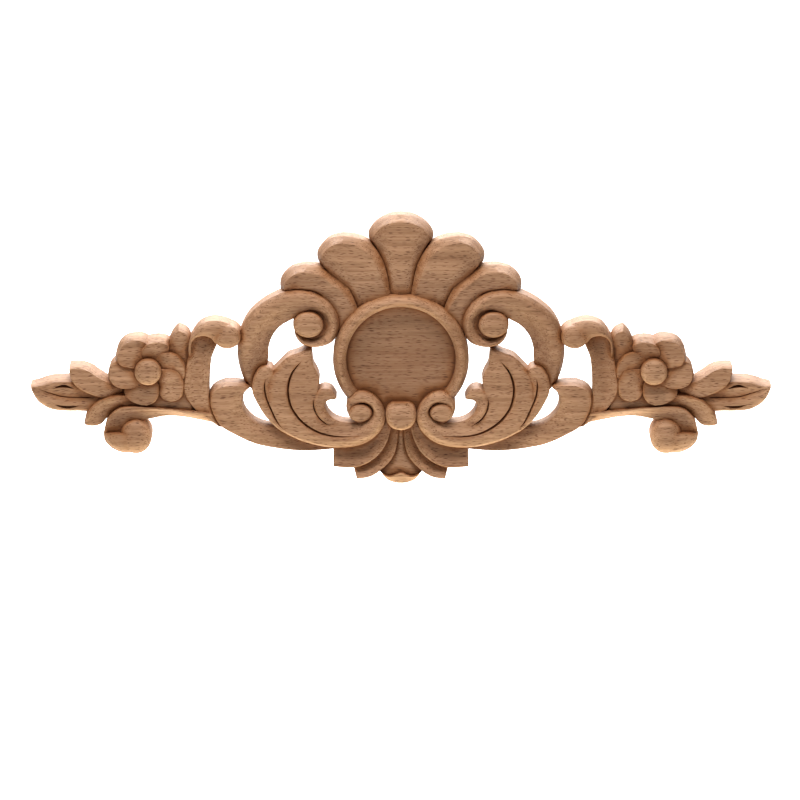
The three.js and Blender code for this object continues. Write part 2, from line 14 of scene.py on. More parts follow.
import bpy
import numpy as np
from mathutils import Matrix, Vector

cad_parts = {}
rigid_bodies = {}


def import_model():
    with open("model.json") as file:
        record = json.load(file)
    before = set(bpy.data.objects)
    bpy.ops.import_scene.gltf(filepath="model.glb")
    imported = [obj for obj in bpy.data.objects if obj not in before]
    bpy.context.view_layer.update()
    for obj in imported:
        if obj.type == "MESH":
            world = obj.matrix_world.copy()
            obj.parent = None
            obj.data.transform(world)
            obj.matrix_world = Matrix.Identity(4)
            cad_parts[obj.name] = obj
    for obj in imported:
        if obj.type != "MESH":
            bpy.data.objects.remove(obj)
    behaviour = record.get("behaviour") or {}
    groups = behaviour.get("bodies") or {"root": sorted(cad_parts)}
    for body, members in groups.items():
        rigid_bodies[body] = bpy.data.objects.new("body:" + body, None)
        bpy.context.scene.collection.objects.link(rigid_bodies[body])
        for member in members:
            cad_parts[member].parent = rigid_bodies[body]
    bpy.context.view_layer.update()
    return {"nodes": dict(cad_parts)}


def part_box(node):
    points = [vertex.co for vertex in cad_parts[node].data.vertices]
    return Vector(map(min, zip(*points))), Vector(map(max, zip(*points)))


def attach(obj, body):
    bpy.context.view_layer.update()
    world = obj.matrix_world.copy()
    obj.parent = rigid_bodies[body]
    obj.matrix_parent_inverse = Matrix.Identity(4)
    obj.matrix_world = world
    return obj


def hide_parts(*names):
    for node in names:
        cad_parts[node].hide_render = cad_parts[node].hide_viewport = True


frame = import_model()
low_corner, high_corner = (np.array(corner, float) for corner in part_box("carved_applique"))
print("in the frame:", list(frame["nodes"]))
print("the board, in mm:", np.round((high_corner - low_corner) * 1000, 1))

# %% [markdown]
# ## The room and the camera
#
# The onlay is photographed in a white light tent, upright, from a little above its middle and from far off,
# so its long sides hardly converge. A long lens gives that flat look. The camera's distance is worked out
# from the width of the view, so the lens and the framing can't drift apart.
#
# The floor is a plain pale sheet well below the part. It glows a little in front and strongly behind, which
# gives the white ground of the view. Nearly all the light comes down from the tent's roof and its back wall:
# it grazes the carved faces, so that each top edge burns out and each hollow stays dark. A weak lamp in
# front keeps the hollows open, and a yellowish one on the floor stands for the light that a wooden table
# throws back up.

# %% Camera
VIEW_WIDTH = 0.4318
VIEW_ELEVATION = math.radians(15)
VIEW_CENTRE = np.array([-0.0005, -0.014, -0.0221])
LENS_MM = 200
SENSOR_MM = 36
FARTHEST_SEEN = 20

towards_camera = np.array([0, -math.cos(VIEW_ELEVATION), math.sin(VIEW_ELEVATION)])
distance = VIEW_WIDTH * LENS_MM / SENSOR_MM
camera_data = bpy.data.cameras.new("long_lens")
camera_data.lens = LENS_MM
camera_data.sensor_width = SENSOR_MM
camera_data.clip_end = FARTHEST_SEEN
camera = bpy.data.objects.new("long_lens", camera_data)
camera.location = VIEW_CENTRE + distance * towards_camera
camera.rotation_euler = (math.pi / 2 - VIEW_ELEVATION, 0, 0)
bpy.context.scene.collection.objects.link(camera)
bpy.context.scene.camera = camera
print("camera distance, in m:", round(distance, 3))

# %% Floor
FLOOR_DROP = 0.22
FLOOR_REACH = 6
FLOOR_SHEET = {
    "Base Color": (0.93, 0.93, 0.93, 1),
    "Roughness": 0.9,
    "Specular IOR Level": 0.1,
    "Emission Color": (1, 1, 1, 1),
}
FLOOR_LIGHT = {"From Min": 0.05, "From Max": 0.3, "To Min": 0.1, "To Max": 1.1}

floor_mesh = bpy.data.meshes.new("pale_floor")
floor_level = low_corner[2] - FLOOR_DROP
floor_corners = [
    (FLOOR_REACH * x, FLOOR_REACH * y, floor_level) for x, y in ((-1, -1), (1, -1), (1, 1), (-1, 1))
]
floor_mesh.from_pydata(floor_corners, [], [(0, 1, 2, 3)])
floor = bpy.data.objects.new("pale_floor", floor_mesh)
bpy.context.scene.collection.objects.link(floor)

pale = bpy.data.materials.new("pale_paper")
pale.use_nodes = True
pale_shader = pale.node_tree.nodes["Principled BSDF"]
for socket, value in FLOOR_SHEET.items():
    pale_shader.inputs[socket].default_value = value
floor_place = pale.node_tree.nodes.new("ShaderNodeTexCoord")
depth_axis = pale.node_tree.nodes.new("ShaderNodeSeparateXYZ")
backlight = pale.node_tree.nodes.new("ShaderNodeMapRange")
for socket, value in FLOOR_LIGHT.items():
    backlight.inputs[socket].default_value = value
pale.node_tree.links.new(floor_place.outputs["Object"], depth_axis.inputs["Vector"])
pale.node_tree.links.new(depth_axis.outputs["Y"], backlight.inputs["Value"])
pale.node_tree.links.new(backlight.outputs["Result"], pale_shader.inputs["Emission Strength"])
floor_mesh.materials.append(pale)
print("floor level, in m:", round(floor_level, 3))


# %% Lamps
def soft_lamp(name, place, size, watts, colour=(1, 1, 1)):
    """A rectangular lamp. Its turn is the one that carries -Z onto the line from its place to the origin."""
    lamp_data = bpy.data.lights.new(name, "AREA")
    lamp_data.shape = "RECTANGLE"
    lamp_data.size, lamp_data.size_y = size
    lamp_data.energy = watts
    lamp_data.color = colour
    lamp = bpy.data.objects.new(name, lamp_data)
    lamp.location = place
    line = Vector((0, 0, 0)) - Vector(place)
    lamp.rotation_euler = line.to_track_quat("-Z", "Y").to_euler()
    bpy.context.scene.collection.objects.link(lamp)


FLOOR_GLOW = (1, 0.95, 0.6)
ROOM_LIGHT = 0.05

soft_lamp("tent_roof", place=(-0.1, -0.36, 0.95), size=(0.9, 0.4), watts=14.5)
soft_lamp("tent_back", place=(0, 1.0, 0.75), size=(1.6, 0.6), watts=44)
soft_lamp("tent_front", place=(-0.6, -1.6, 0.4), size=(0.6, 0.6), watts=2)
soft_lamp("lit_floor", place=(0, -0.02, floor_level + 0.02), size=(0.9, 0.12), watts=1.7, colour=FLOOR_GLOW)

room = bpy.data.worlds.new("white_tent")
room.use_nodes = True
room.node_tree.nodes["Background"].inputs["Color"].default_value = (1, 1, 1, 1)
room.node_tree.nodes["Background"].inputs["Strength"].default_value = ROOM_LIGHT
bpy.context.scene.world = room
bpy.context.scene.view_settings.view_transform = "Standard"
bpy.context.scene.view_settings.look = "Medium High Contrast"
print("lamps:", [lamp.name for lamp in bpy.data.lights])

# %% [markdown]
# ## The drawing grid
#
# A place on the board is (out, up): millimetres out from the centre line and up from the medallion's centre.
# A height is millimetres in front of the flat back. The ornament is the same on both sides of the centre
# line, so only one side is drawn, with out counted away from the middle.
#
# The edges of leaves and scrolls are free curves. They could be Blender curve objects, but their points are
# then awkward to use in sums, so each is worked out here as a line of evenly spaced points.

# %% Smooth edges
EDGE_POINTS = 241
DRAWN_PER_PLACE = 40


def evened(line):
    """The same line with evenly spaced points: each is found at an equal share of the length run so far."""
    run = np.concatenate([[0], np.cumsum(np.linalg.norm(np.diff(line, axis=0), axis=1))])
    even = np.linspace(0, run[-1], EDGE_POINTS)
    return np.column_stack([np.interp(even, run, line[:, k]) for k in (0, 1)])


def spline_weights(count, t):
    """How much each of count evenly spaced knots counts at t, from 0 to 1.

    It is the Catmull-Rom rule: between two knots, a cubic that leaves each knot in the direction of the line
    from the knot before it to the knot after it. Past the ends, the end knots are used again."""
    place = np.asarray(t, float) * (count - 1)
    i = np.clip(np.floor(place), 0, max(count - 2, 0)).astype(int)
    f = place - i
    cubic = [
        (-f + 2 * f**2 - f**3) / 2,
        (2 - 5 * f**2 + 3 * f**3) / 2,
        (f + 4 * f**2 - 3 * f**3) / 2,
        (-(f**2) + f**3) / 2,
    ]
    knots = np.arange(count)
    near = [np.clip(i + k - 1, 0, count - 1) for k in range(4)]
    return sum(w[..., None] * (knots == n[..., None]) for w, n in zip(cubic, near))


def through(*places):
    """A smooth edge through a few places: spline weights times the places, then evened."""
    t = np.linspace(0, 1, DRAWN_PER_PLACE * len(places))
    return evened(spline_weights(len(places), t) @ np.array(places, float))


def arc(out, up, radius, start, stop):
    """An arc of a circle, from one angle to another in degrees: centre plus radius times (cos, sin)."""
    angle = np.radians(np.linspace(start, stop, EDGE_POINTS))
    return np.column_stack([out + radius * np.cos(angle), up + radius * np.sin(angle)])


def place_on(edge, v):
    """The places at shares v of an edge's length."""
    shares = np.linspace(0, 1, len(edge))
    return np.stack([np.interp(v, shares, edge[:, k]) for k in (0, 1)], axis=-1)


def edge_length(edge):
    """The sum of the steps between an edge's points."""
    return np.linalg.norm(np.diff(edge, axis=0), axis=1).sum()


print("spline weights halfway along 4 knots:", spline_weights(4, 0.5).round(3))

# %% [markdown]
# ## A leaf
#
# Nearly everything on the board is a leaf of some kind: a lobe, a petal, a band or a stem. A carver cuts
# its two sides down with a gouge, hollows or crowns the face between them, and takes the sharp corner off.
#
# Each leaf is a grid of u, from its near edge to its far edge, and v, from its root to its tip. A small table
# of heights is spread over that grid with the same spline weights. How far the corner is taken off is worked
# out from the true distance to the edge, so it is as wide round a tip as along a side. Four kinds of edge are
# enough: rolled over, rounded, bevelled steeply, and a shoulder that starts gently and ends as a bevel.
# Upright walls close the leaf down to the back.

# %% Kinds of edge
class Edge:
    """A kind of edge: how steeply the face is cut down there, the power of the cut, and its grid columns."""

    def __init__(self, steepness, power, columns):
        self.steepness, self.power, self.columns = np.atleast_1d(steepness), power, np.array(columns)


ROLLED = Edge(0.75, 1.3, [0, 0.3, 0.65])
ROUNDED = Edge(1, 2, [0, 0.12, 0.28, 0.46, 0.7])
BEVELLED = Edge(3, 1, [0, 0.5])
SHOULDERED = Edge([0.6, 0.6, 0.8, 1.2, 2, 3], 1, [0, 0.5])


def distance_to(chain, places):
    """The least distance from each place to a chain: to the nearest point of each of its segments."""
    start, step = chain[:-1], np.diff(chain, axis=0)
    away = places[..., None, :] - start
    share = np.clip((away * step).sum(-1) / np.maximum((step**2).sum(-1), 1e-12), 0, 1)
    return np.sqrt(((away - share[..., None] * step) ** 2).sum(-1).min(-1))


def drop_at(distance, softness, edge, v):
    """How far the face drops towards an edge: steepness x softness x (1 - distance / softness)^power."""
    most = (spline_weights(len(edge.steepness), v) @ edge.steepness * softness)[:, None]
    return most * np.maximum(1 - distance / softness[:, None], 0) ** edge.power


edge_points = np.array([0, 0.5, 1.0])
print("drop of a bevel 1 mm wide:", drop_at(edge_points[None], np.array([1.0]), BEVELLED, np.array([0.5])))


# %% From rows of corners to a solid
def without_collapsed(triangles):
    """The triangles that have three different corners."""
    a, b, c = triangles.T
    return triangles[(a != b) & (b != c) & (c != a)]


def strips_between(rows):
    """Two triangles for each quad between one row of corner numbers and the next."""
    quads = np.stack([rows[:-1, :-1], rows[:-1, 1:], rows[1:, 1:], rows[1:, :-1]], axis=-1).reshape(-1, 4)
    return without_collapsed(np.vstack([quads[:, [0, 1, 2]], quads[:, [0, 2, 3]]]))


def facing_out(corners, triangles):
    """The triangles turned to face out: a closed solid's faces do when the sum of a . (b x c) is positive."""
    a, b, c = (corners[triangles[:, k]] for k in range(3))
    volume = (a * np.cross(b, c)).sum()
    return triangles if volume > 0 else triangles[:, ::-1]


def upright(corners, triangles):
    """A solid from the corners in use, each (out, up, height): X = out, Y = -height, and Z = up."""
    used, numbers = np.unique(triangles, return_inverse=True)
    out, up, height = corners[used].T
    placed = np.column_stack([out, -height, up])
    return placed, facing_out(placed, numbers.reshape(-1, 3))


def end_wall(ring, foot):
    """The flat end of a leaf: a fan of triangles from its near foot to each step of the ring round it."""
    return without_collapsed(np.column_stack([ring[:-1], ring[1:], np.full(len(ring) - 1, foot)]))


def closed_below(places, face, pointed):
    """A grid of face corners closed with walls down to the back: each row gets one foot under each end."""
    rows, columns = face.shape
    top = np.concatenate([places, face[..., None]], axis=-1)
    feet = top[:, [0, -1]] * [1, 1, 0]
    corners = np.concatenate([top, feet], axis=1).reshape(-1, 3)
    numbers = np.arange(rows * (columns + 2)).reshape(rows, columns + 2)
    if pointed:
        numbers[-1, :columns] = numbers[-1, 0]
        numbers[-1, columns:] = numbers[-1, columns]
    ring = np.column_stack([numbers[:, :columns], numbers[:, -1], numbers[:, -2], numbers[:, 0]])
    fans = [end_wall(ring[0], numbers[0, -2])[:, ::-1]]
    if not pointed:
        fans.append(end_wall(ring[-1], numbers[-1, -2]))
    return upright(corners, np.vstack([strips_between(ring), *fans]))


two_quads = strips_between(np.arange(6).reshape(2, 3))
print("two quads as triangles:", two_quads.tolist())

# %% A leaf from two edges and a table of heights
SPACING = 1.05
MOST_ROUNDED = 0.35
SHARED_TIP = 0.1
TIP_ROWS = np.array([0.3, 0.65])
FEWEST_ROWS = 6
FEWEST_COLUMNS = 3


def leaf(near, far, relief, soft=(0.7, 0.7), edges=(ROLLED, ROLLED)):
    """A carved leaf: place = (1 - u) near(v) + u far(v), and height = relief(v, u) - the largest edge drop.

    soft is how far in the near and the far edge are cut down. A list runs from the root to the tip."""
    relief = np.array(relief, float)
    soft = [np.atleast_1d(softness) for softness in soft]
    tip_soft = min(softness[-1] for softness in soft)
    pointed = np.linalg.norm(near[-1] - far[-1]) < SHARED_TIP
    shortest, longest = sorted([edge_length(near), edge_length(far)])
    tip_share = tip_soft / shortest
    v = np.linspace(0, 1 - tip_share, max(int(longest / SPACING), FEWEST_ROWS))
    v = np.concatenate([v, 1 - tip_share * (1 - TIP_ROWS), [1]])
    left, right = place_on(near, v), place_on(far, v)
    width = np.maximum(np.linalg.norm(left - right, axis=1), SHARED_TIP)
    softs = [spline_weights(len(softness), v) @ softness for softness in soft]
    margins = [np.minimum(softness / width, MOST_ROUNDED)[:, None] for softness in softs]
    inner = np.linspace(0, 1, max(int(width.max() / SPACING), FEWEST_COLUMNS) + 1)
    middle = margins[0] + inner * (1 - margins[0] - margins[1])
    u = np.hstack([margins[0] * edges[0].columns, middle, 1 - margins[1] * edges[1].columns[::-1]])
    places = left[:, None] * (1 - u[..., None]) + right[:, None] * u[..., None]
    rows, columns = spline_weights(len(relief), v), spline_weights(relief.shape[1], u)
    face = np.einsum("vr,rc,vuc->vu", rows, relief, columns)
    chains = [near, far] if pointed else [near, far, np.stack([near[-1], far[-1]])]
    softs, edges = [*softs, np.full(len(v), tip_soft)], [*edges, edges[0]]
    drops = [
        drop_at(distance_to(chain, places), softness, edge, v)
        for chain, softness, edge in zip(chains, softs, edges)
    ]
    face = face - np.max(drops, axis=0)
    return closed_below(places, face, pointed)


sample = leaf(through((2, 0), (4, 8), (0, 16)), through((-2, 0), (-4, 8), (0, 16)), [[5]])
print("a small leaf:", len(sample[0]), "corners,", len(sample[1]), "triangles")

# %% [markdown]
# ## Bosses and V cuts
#
# The bulbs, the eyes of the scrolls and the flowers' buttons are bosses, turned on the end of a gouge. A
# boss is a stack of ellipses. Their radius follows a sine, which puts them close together where the side is
# steep, and their height a superellipse, which is rounder or flatter as its power asks.
#
# The dark lines between leaves are cut with a V tool, which goes in shallow, deepens and runs out. A cut is
# a thin solid, a section of five points carried along a path, and it is taken away from the body.

# %% A boss
BOSS_SIDES = 48
BOSS_RINGS = 11


def boss(out, up, radius_out, foot, crown, radius_up=None, fullness=2.4):
    """A dome: radius share s = sin(n / rings x 90 degrees), height foot + (crown - foot) (1 - s^f)^(1/f)."""
    radius_up = radius_up or radius_out
    share = np.sin(np.linspace(0, np.pi / 2, BOSS_RINGS + 1))
    height = foot + (crown - foot) * np.maximum(1 - share**fullness, 0) ** (1 / fullness)
    share, height = np.append(share, 1), np.append(height, 0)
    angle = 2 * np.pi * np.arange(BOSS_SIDES) / BOSS_SIDES
    x = out + radius_out * share[:, None] * np.cos(angle)
    y = up + radius_up * share[:, None] * np.sin(angle)
    corners = np.stack([x, y, np.broadcast_to(height[:, None], x.shape)], axis=-1).reshape(-1, 3)
    numbers = np.arange(len(corners)).reshape(x.shape)
    numbers[0] = 0
    around = strips_between(np.column_stack([numbers, numbers[:, 0]]))
    floor_ring = numbers[-1]
    under = np.column_stack([np.full(BOSS_SIDES - 2, floor_ring[0]), floor_ring[1:-1], floor_ring[2:]])
    return upright(corners, np.vstack([around, under]))


print("a boss:", len(boss(0, 0, 5, 3, 6)[1]), "triangles")

# %% A V cut, a mirror image and a count
STEEP_BANK = 1
ROLL_NEAR = (0.22, 0.5)
ROLL_LEVEL = (0.6, 0.5)
SWELL_POWER = 0.7
FEWEST_SECTIONS = 8


def vein_cut(path, banks, floors, rim, ends=(0.25, 0.35)):
    """A groove along a path: steep on one side, and on the other steep and then rolled, out to its bank.

    Each section is the bank times a swell, which grows and dies over the ends' shares of the length."""
    count = max(int(edge_length(path) / SPACING), FEWEST_SECTIONS)
    t = np.linspace(0, 1, count + 1)
    place = place_on(path, t)
    heading = np.gradient(place, axis=0)
    heading /= np.linalg.norm(heading, axis=1)[:, None]
    aside = np.column_stack([-heading[:, 1], heading[:, 0]])
    swell = np.clip(np.minimum(t / ends[0], (1 - t) / ends[1]), 0, 1) ** SWELL_POWER
    depth = spline_weights(len(floors) + 2, t) @ np.array([rim, *floors, rim], float)
    kind = np.where(np.array(banks) < STEEP_BANK, 1, 0)
    section = [
        (banks[0], 1), (banks[0] * ROLL_NEAR[kind[0]], ROLL_LEVEL[kind[0]]), (0, 0),
        (-banks[1] * ROLL_NEAR[kind[1]], ROLL_LEVEL[kind[1]]), (-banks[1], 1),
    ]
    rails = [
        np.column_stack([place + swell[:, None] * reach * aside, depth + share * (rim - depth)])
        for reach, share in section
    ]
    corners = np.stack(rails, axis=1).reshape(-1, 3)
    numbers = np.arange(len(corners)).reshape(-1, len(section))
    numbers[0], numbers[-1] = numbers[0, 0], numbers[-1, 0]
    return upright(corners, strips_between(np.column_stack([numbers, numbers[:, 0]])))


def mirrored(solid):
    """The same solid on the other side: X changes sign, and each triangle is turned back."""
    corners, triangles = solid
    return corners * [-1, 1, 1], triangles[:, ::-1]


def counted(name, solids):
    """The same solids, once their triangles have been printed."""
    print(f"{name}: {len(solids)} solids, {sum(len(triangles) for _, triangles in solids)} triangles")
    return solids


trial_cut = vein_cut(through((0, 0), (10, 0)), banks=(1, 1), floors=[3], rim=5)
print("a V cut:", len(trial_cut[1]), "triangles")

# %% [markdown]
# ## The medallion
#
# A shallow round dish, left plain for a monogram or a knob. A half-round ring stands round it and stops short
# at the bottom, where it sinks away to a small apron, and a bead with a flat top fills the gap. On a lathe
# this would be a separate rosette. Here it is carved from the same board, so its ring is a leaf bent round an
# arc, and the bead a short leaf with rounded edges.

# %% Dish, ring, apron and bead
BED = 7
DISH = 9
RING = 17.5
MEDALLION_RADIUS = 29.5
RING_WIDTH = 7.2
RING_ANGLES = (-37, 217)
RING_SINKS = 4


def medallion():
    """The dish is a low boss, the ring a leaf between two arcs whose ends sink, the bead a short leaf."""
    ring_section = np.array([RING - 3, RING, RING - 0.5, RING - 4.5])
    sunk = RING_SINKS * np.array([1, 0, 0, 0, 0, 1])[:, None]
    outer = MEDALLION_RADIUS + RING_WIDTH
    bead_side = np.array([(4.6, -23.8), (7.2, -25.8), (8.3, -29.6), (7.4, -34), (4.6, -37.5)])
    return [
        boss(
            out=0, up=0, radius_out=MEDALLION_RADIUS + RING_WIDTH / 2, foot=DISH + 1, crown=DISH,
            fullness=2,
        ),
        leaf(
            near=through((14, -18), (12, -28), (11, -42)),
            far=through((-14, -18), (-12, -28), (-11, -42)),
            relief=[[DISH]],
        ),
        leaf(
            near=arc(0, 0, MEDALLION_RADIUS, *RING_ANGLES),
            far=arc(0, 0, outer, *RING_ANGLES),
            relief=ring_section - sunk,
        ),
        leaf(
            near=through(*bead_side * [-1, 1], (0, -38.9)),
            far=through(*bead_side, (0, -38.9)),
            relief=[[15, 15.6, 15.6, 15], [17.6, 18.4, 18.4, 17.6], [18.2, 19, 19, 18.2], [17.4] * 4],
            soft=(2.8, 2.8),
            edges=(ROUNDED, ROUNDED),
        ),
    ]


rosette = counted("medallion", medallion())

# %% [markdown]
# ## The crest
#
# Five lobes stand over the ring like a shell, the centre one lowest at its root and each outer one lying
# over its neighbour. Their faces are scooped towards the root, and their rims are cut off at a steep slope,
# which is where the light catches them. On the side that faces the centre the cut is a wide, gentle shoulder.

# %% Five lobes
LOBE_RIM = [1, 1.6, 2.4, 2.4]
LOBE_SHOULDER = [1.4, 3, 4.2, 4.2, 3, 2.4]


def crest_centre():
    """One lobe across the centre line: its near edge is its far edge with out negated."""
    side = np.array([(9, 32), (10, 45), (13, 57), (17.3, 66), (16, 71), (11.5, 75.6), (5.5, 78.5)])
    return [
        leaf(
            near=through(*side * [-1, 1], (0, 79.2)),
            far=through(*side, (0, 79.2)),
            relief=[[9, 12, 13, 12, 9], [9, 14, 15, 14, 9], [11.5, 14.8, 15.2, 14.8, 11.5], [16.8] * 5],
            soft=(LOBE_RIM, LOBE_RIM),
            edges=(BEVELLED, BEVELLED),
        ),
    ]


def crest_side():
    """Two lobes beside it."""
    return [
        leaf(
            near=through((24, 27), (34, 40), (42, 49), (45, 56), (42.5, 61.5), (37.5, 66), (31, 67.8)),
            far=through((5, 33), (7, 45), (9.5, 54), (14, 61.5), (19, 65.2), (25, 67.2), (31, 67.8)),
            relief=[[10, 12, 13, 13], [10, 14, 14.5, 15.5], [12, 14.6, 15, 16], [16.5] * 4],
            soft=(LOBE_RIM, LOBE_SHOULDER),
            edges=(BEVELLED, SHOULDERED),
        ),
        leaf(
            near=through(
                (36, 11), (38, 26), (45, 35), (54, 37), (63, 36), (65, 40.5), (63, 45.5), (58, 49.8),
                (51, 51.6),
            ),
            far=through((22, 24), (25, 33), (29, 40.5), (34.5, 45.5), (40, 49.5), (45.5, 51.3), (51, 51.6)),
            relief=[[10, 11, 12, 13], [11, 13.5, 14, 15], [12, 13.8, 14.2, 15], [15.6] * 4],
            soft=(LOBE_RIM, LOBE_SHOULDER),
            edges=(BEVELLED, SHOULDERED),
        ),
    ]


centre_lobe = counted("centre lobe", crest_centre())
side_lobes = counted("side lobes", crest_side())

# %% [markdown]
# ## The scrolls
#
# Two scrolls stand on each side. The great one springs from behind the leaves as a C, rolls over the top and
# winds in under itself to a domed eye. The small one starts at an eye beside the bead, winds round it and
# runs on as the stem, out and up to the tip of the broad leaf inside the C.
#
# A spiral could be a curve with a bevel, but a carved band changes its width and its section as it goes: the
# table of heights has its high rim outside and its hollow inside, all the way round.

# %% The great scroll
def great_scroll():
    """The band, the low ground inside its coil, and its eye."""
    return [
        leaf(
            near=through(
                (80.5, -18.5), (85, -12), (88, 0), (87.5, 12), (83, 23), (75, 31), (65, 36.5), (55, 39.3),
                (45, 36.8), (37, 30), (33, 20), (36.5, 10.3), (45, 6.8), (52.5, 8.2), (56.6, 12.8),
                (57.6, 18.5),
            ),
            far=through(
                (77, -20), (74, -10), (71.8, -2), (71.5, 5), (69.4, 12), (64.8, 18), (57.8, 22.6),
                (54.2, 24.6), (49.3, 27.2), (43.2, 25.2), (40.7, 19.5), (43, 14.5), (47.5, 12.3), (51.5, 13),
                (54.5, 15.2), (57.6, 18.5),
            ),
            relief=[
                [8, 9, 8.5, 8], [12, 13, 11, 9], [15, 15.5, 12, 9], [15.5, 16, 13, 10],
                [15.5, 16.5, 14.5, 13], [15, 16.5, 14.5, 11.5], [14.5, 16, 14.5, 11.5], [14, 15, 14, 12],
            ],
            soft=([2, 3, 3, 3.4, 3.4, 3, 2.4, 1.6], 0.8),
            edges=(ROUNDED, ROLLED),
        ),
        boss(out=46.5, up=20.5, radius_out=11.5, radius_up=11, foot=12.4, crown=12.4),
        boss(out=49.8, up=19.8, radius_out=8.2, radius_up=7.1, foot=13.5, crown=17.6, fullness=2.8),
    ]


great_coil = counted("great scroll", great_scroll())

# %% The small scroll and the stem
def stem():
    """The band from the small scroll's end to the broad leaf's tip, the ground in its coil, and its eye."""
    return [
        leaf(
            near=through(
                (28.8, -30.2), (29.6, -25), (26.8, -19.8), (21.3, -17.5), (15.1, -19.6), (10.4, -24.7),
                (8.4, -31.5), (10.2, -38), (14.4, -43), (20.8, -46.8), (30, -48.7), (42, -48.2),
                (55, -44.6), (65, -38.8), (70.6, -30), (72.5, -18), (71, -9), (66.5, -3.8), (61, 1.6),
                (55, 3.9), (48.2, 7.4),
            ),
            far=through(
                (25.6, -29.4), (24.8, -26), (22.4, -24.4), (19.2, -24.2), (16.2, -26.3), (15.3, -29.6),
                (17.5, -32.8), (22, -35), (29, -35.3), (34.5, -34), (38.5, -31), (41, -26), (44.5, -18),
                (43.8, -11.5), (45, -7), (47.2, -2.5), (48.2, 7.4),
            ),
            relief=[
                [13, 15, 14.5, 13.5], [14, 16, 16, 14], [14.5, 17, 16.5, 13.4], [15, 16.7, 14.4, 12.4],
                [14.5, 15.8, 14, 13], [14.5, 15.3, 15, 14.5], [14.5, 15.3, 15.2, 14.5],
                [14, 14.8, 15, 14], [14, 14, 14, 14],
            ],
            soft=([1.2, 1.2, 1.2, 1.2, 1.2, 1.8, 2], 0.8),
        ),
        boss(out=20, up=-28, radius_out=8, foot=13, crown=13),
        boss(out=22, up=-29.2, radius_out=6.6, radius_up=5, foot=13, crown=16.2, fullness=3.4),
    ]


small_coil = counted("small scroll and stem", stem())

# %% [markdown]
# ## Leaves inside the C
#
# An outer leaf lies against the great scroll, and a hooked tip turns in towards the ring. Both leave the stem
# on its own level, and V cuts part them from it later, as a carver would part them.

# %% The outer leaf and the hook
def side_leaves():
    """Two leaves that grow out of the stem."""
    return [
        leaf(
            near=through(
                (45, -47.5), (55, -44.6), (65, -39.3), (72.4, -32.2), (77, -25), (80.2, -17.5), (79.5, -10),
                (76.5, -4.8), (73, -3.5),
            ),
            far=through(
                (45, -42), (55, -38), (63, -32), (67, -24), (68.5, -17), (68, -11), (68.5, -7), (70, -4.4),
                (73, -3.5),
            ),
            relief=[[11, 11, 11], [14.3, 14.3, 13], [14.5, 15, 13], [14, 15, 14.5]],
            soft=([0.7, 0.7, 1, 1.6], 0.7),
        ),
        leaf(
            near=through(
                (34, -39), (41, -36), (44.8, -31.5), (46.8, -26), (46.6, -21), (45, -17.4), (42, -15.7),
                (38.8, -16), (36.3, -18), (34.6, -21.2),
            ),
            far=through(
                (30, -35.3), (35.6, -33.9), (39.5, -30.5), (41.2, -26.3), (40.5, -23.6), (38.6, -22.2),
                (36.4, -22), (34.6, -21.2),
            ),
            relief=[[12, 12, 12], [15.5, 15, 13.5], [15.5, 15, 14], [15, 15.2, 14.5]],
            soft=([0.8, 0.8, 1.2, 1.6, 1], 0.8),
        ),
    ]


inner_leaves = counted("leaves inside the C", side_leaves())

# %% [markdown]
# ## The palmette
#
# Below the bead two fluted petals fan out on each side of a tongue, whose end turns up in a lip. Each petal
# is high along its outer edge and sinks to the next one, so the fan looks folded.

# %% Petals, tongue and lip
def palmette_side():
    """Two petals: the columns of their tables rise from the near edge to the far one."""
    return [
        leaf(
            near=through((7.5, -34), (12, -40), (20, -45), (28, -47.6), (36.6, -49.5)),
            far=through((5, -38), (7.4, -45.8), (11.5, -52.4), (18, -57.6), (26, -60.2), (36.6, -59.6)),
            relief=[[9.8, 10, 11], [9.8, 10.6, 13.4], [10.2, 11, 14], [11, 12, 14]],
        ),
        leaf(
            near=through((5.5, -37), (8.6, -45.4), (12.8, -51.8), (18.6, -57), (25.8, -60)),
            far=through((1.3, -39), (2.2, -48.4), (4.9, -55.4), (10.5, -61.4), (16.8, -65.4), (24, -66.6)),
            relief=[[8.8, 9.4, 10.5], [8.8, 9.8, 12.8], [9.2, 10.6, 13.6], [10.8, 12, 14]],
        ),
    ]


def palmette_tongue():
    """The tongue is drawn by one side, like the centre lobe. The lip is a lens between two curves."""
    side = np.array([(2.5, -37), (4, -50), (8.8, -58), (11.6, -62.2), (9, -65)])
    return [
        leaf(
            near=through(*side * [-1, 1]),
            far=through(*side),
            relief=[[8.8, 10, 8.8], [9, 10.6, 9], [10, 11.2, 10], [11.5, 12, 11.5]],
            soft=(0.6, 0.6),
        ),
        leaf(
            near=through(
                (-11.3, -62.3), (-9, -64.2), (-6, -65), (-3, -64), (0, -63), (3, -64), (6, -65), (9, -64.2),
                (11.3, -62.3),
            ),
            far=through((-11.3, -62.3), (-7.5, -67.4), (0, -69.6), (7.5, -67.4), (11.3, -62.3)),
            relief=[[14, 13.2, 12]],
            soft=(0.5, 0.5),
        ),
    ]


folded_petals = counted("palmette petals", palmette_side())
tongue = counted("tongue and lip", palmette_tongue())

# %% [markdown]
# ## The lower band
#
# A broad band starts in a round paddle beside the wing's stem and sweeps down and in behind the leaves. It is
# set lower all the way, so the leaves in front throw their shadow on it.

